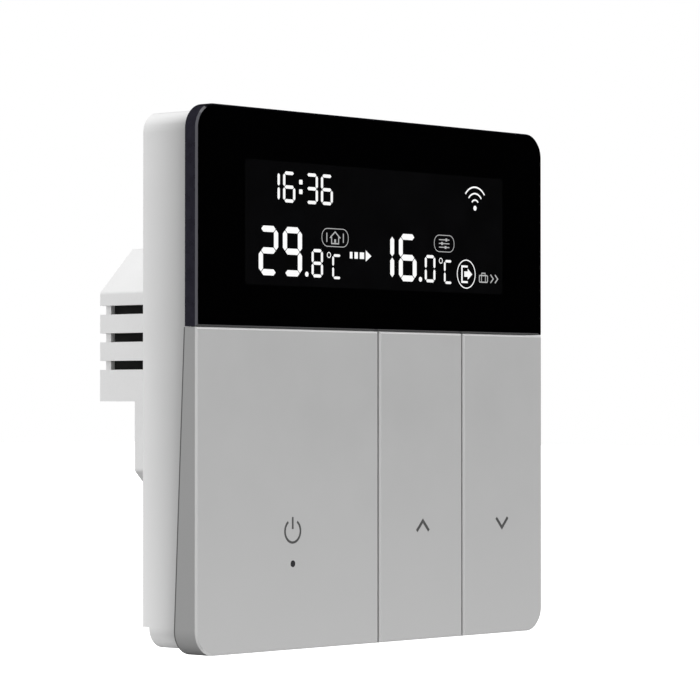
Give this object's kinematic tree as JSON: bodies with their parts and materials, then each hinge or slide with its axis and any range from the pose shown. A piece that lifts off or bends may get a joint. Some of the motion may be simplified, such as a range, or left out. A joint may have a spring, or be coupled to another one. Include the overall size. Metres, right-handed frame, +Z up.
{
  "type": "wall thermostat",
  "caption": "Flush wall thermostat: square face with a black display window over push keys, white case, and an in-wall box on a slotted steel plate.",
  "frame": {"origin": "centre of the mounting plate's rear face, which lies on the wall", "axes": "+Y into the wall, so the face looks along -Y; +Z up; +X to the right seen from the room"},
  "size_m": [0.086, 0.043, 0.086],
  "materials": {
    "white_plastic": "satin",
    "black_acrylic": "mirror-smooth",
    "grey_plastic": "fine satin",
    "clear_plastic": "clear",
    "diffuser_film": "matt",
    "lcd_glass": "polished",
    "polariser_film": "smooth",
    "led_resin": "smooth",
    "circuit_board": "solder mask",
    "chip_resin": "matt",
    "tinned_metal": "tinned",
    "gold_pin": "plated",
    "black_plastic": "satin",
    "plunger_plastic": "satin",
    "screw_steel": "zinc plated",
    "plate_steel": "galvanised",
    "terminal_plastic": "satin",
    "brass": "satin",
    "ferrite": "matt",
    "winding_tape": "tape",
    "bobbin_plastic": "satin",
    "capacitor_sleeve": "shrunk sleeve",
    "film_capacitor_case": "matt",
    "varistor_coat": "dipped",
    "fuse_case": "satin",
    "rectifier_resin": "matt",
    "sensor_bead": "dipped"
  },
  "bodies": {
    "base": {"mounting_plate": "plate_steel", "rear_box": "white_plastic", "box_screws": "screw_steel", "box_cover": "black_plastic", "power_board": "circuit_board", "power_board_screws": "screw_steel", "socket_header": "black_plastic", "terminal_block": "terminal_plastic", "terminal_clamps": "brass", "terminal_screws": "screw_steel", "transformer_core": "ferrite", "transformer_winding": "winding_tape", "transformer_bobbin": "bobbin_plastic", "relay": "black_plastic", "bulk_capacitor": "capacitor_sleeve", "suppression_capacitor": "film_capacitor_case", "varistor": "varistor_coat", "fuse": "fuse_case", "bridge_rectifier": "rectifier_resin"},
    "front": {"front_shell": "white_plastic", "window_lens": "black_acrylic", "backlight_frame": "white_plastic", "light_guide": "clear_plastic", "backlight_diffuser": "diffuser_film", "backlight_leds": "led_resin", "lcd_rear_glass": "lcd_glass", "lcd_front_glass": "lcd_glass", "lcd_polarisers": "polariser_film", "lcd_pins": "tinned_metal", "control_board": "circuit_board", "control_board_screws": "screw_steel", "microcontroller": "chip_resin", "wireless_board": "circuit_board", "wireless_shield": "tinned_metal", "clock_crystal": "tinned_metal", "status_led": "led_resin", "header_base": "black_plastic", "header_pins": "gold_pin", "room_sensor": "sensor_bead", "mode_switch_body": "black_plastic", "up_switch_body": "black_plastic", "down_switch_body": "black_plastic"},
    "mode_key": {"mode_key": "grey_plastic", "indicator_pipe": "clear_plastic"},
    "up_key": {"up_key": "grey_plastic"},
    "down_key": {"down_key": "grey_plastic"},
    "mode_plunger": {"mode_plunger": "plunger_plastic"},
    "up_plunger": {"up_plunger": "plunger_plastic"},
    "down_plunger": {"down_plunger": "plunger_plastic"}
  },
  "joints": [
    {"name": "front_release", "type": "slide", "parent": "base", "child": "front", "axis": [0, -1, 0], "range_m": [0, 0.025]},
    {"name": "mode_key_press", "type": "hinge", "parent": "front", "child": "mode_key", "pos_m": [-0.021, -0.0084, 0.0055], "axis": [1, 0, 0], "range_deg": [0, 0.6], "stiffness_Nm_per_rad": 5},
    {"name": "mode_plunger_slide", "type": "slide", "parent": "front", "child": "mode_plunger", "axis": [0, 1, 0], "range_m": [0, 0.00028]},
    {"name": "up_key_press", "type": "hinge", "parent": "front", "child": "up_key", "pos_m": [0.01075, -0.0084, 0.0055], "axis": [1, 0, 0], "range_deg": [0, 0.6], "stiffness_Nm_per_rad": 5},
    {"name": "up_plunger_slide", "type": "slide", "parent": "front", "child": "up_plunger", "axis": [0, 1, 0], "range_m": [0, 0.00028]},
    {"name": "down_key_press", "type": "hinge", "parent": "front", "child": "down_key", "pos_m": [0.0316, -0.0084, 0.0055], "axis": [1, 0, 0], "range_deg": [0, 0.6], "stiffness_Nm_per_rad": 5},
    {"name": "down_plunger_slide", "type": "slide", "parent": "front", "child": "down_plunger", "axis": [0, 1, 0], "range_m": [0, 0.00028]}
  ],
  "couplings": [
    {"joint": "mode_plunger_slide", "follows": "mode_key_press", "m_per_rad": 0.0255},
    {"joint": "up_plunger_slide", "follows": "up_key_press", "m_per_rad": 0.0255},
    {"joint": "down_plunger_slide", "follows": "down_key_press", "m_per_rad": 0.0255}
  ]
}
